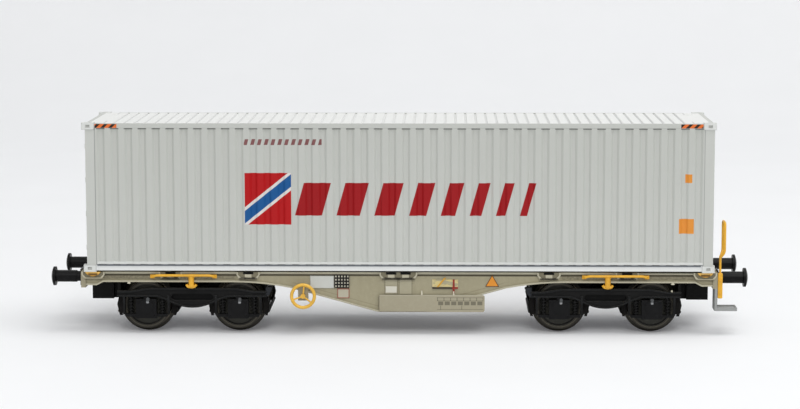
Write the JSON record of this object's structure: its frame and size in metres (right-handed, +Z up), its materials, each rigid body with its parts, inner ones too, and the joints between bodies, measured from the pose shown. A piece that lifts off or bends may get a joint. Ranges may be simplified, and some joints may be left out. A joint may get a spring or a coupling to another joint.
{
  "type": "H0 scale model container flat wagon with container",
  "caption": "Scale model of a fishbelly container flat wagon on two bogies, carrying one corrugated box container.",
  "frame": {"origin": "centre of the wagon on the floor, under the flanges of its wheels", "axes": "+X along the track towards the end with the step, +Y across the track, +Z up"},
  "size_m": [0.1556, 0.0294, 0.0475],
  "materials": {
    "container_grey": "satin moulded plastic, pale grey",
    "frame_beige": "matt beige-grey paint on a cast frame",
    "black_plastic": "fine matt black",
    "wheel_steel": "browned steel, bright on the treads",
    "safety_yellow": "satin yellow",
    "step_grey": "satin grey"
  },
  "bodies": {
    "underframe": {"air_reservoir": "black_plastic", "bolsters": "black_plastic", "brake_bearers": "black_plastic", "brake_cylinder": "black_plastic", "brake_levers": "frame_beige", "buffers_left": "black_plastic", "buffers_right": "black_plastic", "corner_locks": "safety_yellow", "corner_seats": "frame_beige", "cross_members": "frame_beige", "draft_sills": "black_plastic", "end_railing": "safety_yellow", "end_step": "step_grey", "handrails": "safety_yellow", "handwheel_brackets": "frame_beige", "handwheels": "safety_yellow", "headstock_left": "frame_beige", "headstock_right": "frame_beige", "label_grids": "frame_beige", "lettering_boards": "frame_beige", "lock_pockets_far": "frame_beige", "lock_pockets_near": "frame_beige", "rope_hooks": "safety_yellow", "side_sill_far": "frame_beige", "side_sill_near": "frame_beige"},
    "container": {"container_blind_end": "container_grey", "container_bottom_rails": "container_grey", "container_corner_castings": "container_grey", "container_corner_posts": "container_grey", "container_door_bars": "container_grey", "container_door_far": "container_grey", "container_door_near": "container_grey", "container_floor": "container_grey", "container_roof": "container_grey", "container_side_far": "container_grey", "container_side_near": "container_grey", "container_top_rails": "container_grey"},
    "coupler_left": {"coupler_left": "black_plastic"},
    "coupler_right": {"coupler_right": "black_plastic"},
    "bogie_left": {"bogie_left_axle_boxes": "black_plastic", "bogie_left_brake_shoes": "black_plastic", "bogie_left_end_beams": "black_plastic", "bogie_left_side_frames": "black_plastic", "bogie_left_springs": "black_plastic", "bogie_left_transom": "black_plastic"},
    "bogie_right": {"bogie_right_axle_boxes": "black_plastic", "bogie_right_brake_shoes": "black_plastic", "bogie_right_end_beams": "black_plastic", "bogie_right_side_frames": "black_plastic", "bogie_right_springs": "black_plastic", "bogie_right_transom": "black_plastic"},
    "wheelset_1": {"wheels_1": "wheel_steel", "axle_1": "wheel_steel"},
    "wheelset_2": {"wheels_2": "wheel_steel", "axle_2": "wheel_steel"},
    "wheelset_3": {"wheels_3": "wheel_steel", "axle_3": "wheel_steel"},
    "wheelset_4": {"wheels_4": "wheel_steel", "axle_4": "wheel_steel"}
  },
  "joints": [
    {"name": "container_lift", "type": "slide", "parent": "underframe", "child": "container", "axis": [0, 0, 1], "range_m": [0, 0.03]},
    {"name": "bogie_left_swivel", "type": "hinge", "parent": "underframe", "child": "bogie_left", "pos_m": [-0.04615, 0, 0.0108], "axis": [0, 0, 1], "range_deg": [-10, 10]},
    {"name": "coupler_left_swing", "type": "hinge", "parent": "underframe", "child": "coupler_left", "pos_m": [-0.0596, 0, 0.0102], "axis": [0, 0, 1], "range_deg": [-8, 8]},
    {"name": "wheelset_1_turn", "type": "hinge", "parent": "bogie_left", "child": "wheelset_1", "pos_m": [-0.05645, 0, 0.00619], "axis": [0, 1, 0], "continuous": true},
    {"name": "wheelset_2_turn", "type": "hinge", "parent": "bogie_left", "child": "wheelset_2", "pos_m": [-0.03585, 0, 0.00619], "axis": [0, 1, 0], "continuous": true},
    {"name": "bogie_right_swivel", "type": "hinge", "parent": "underframe", "child": "bogie_right", "pos_m": [0.04615, 0, 0.0108], "axis": [0, 0, 1], "range_deg": [-10, 10]},
    {"name": "coupler_right_swing", "type": "hinge", "parent": "underframe", "child": "coupler_right", "pos_m": [0.0596, 0, 0.0102], "axis": [0, 0, 1], "range_deg": [-8, 8]},
    {"name": "wheelset_3_turn", "type": "hinge", "parent": "bogie_right", "child": "wheelset_3", "pos_m": [0.03585, 0, 0.00619], "axis": [0, 1, 0], "continuous": true},
    {"name": "wheelset_4_turn", "type": "hinge", "parent": "bogie_right", "child": "wheelset_4", "pos_m": [0.05645, 0, 0.00619], "axis": [0, 1, 0], "continuous": true}
  ]
}
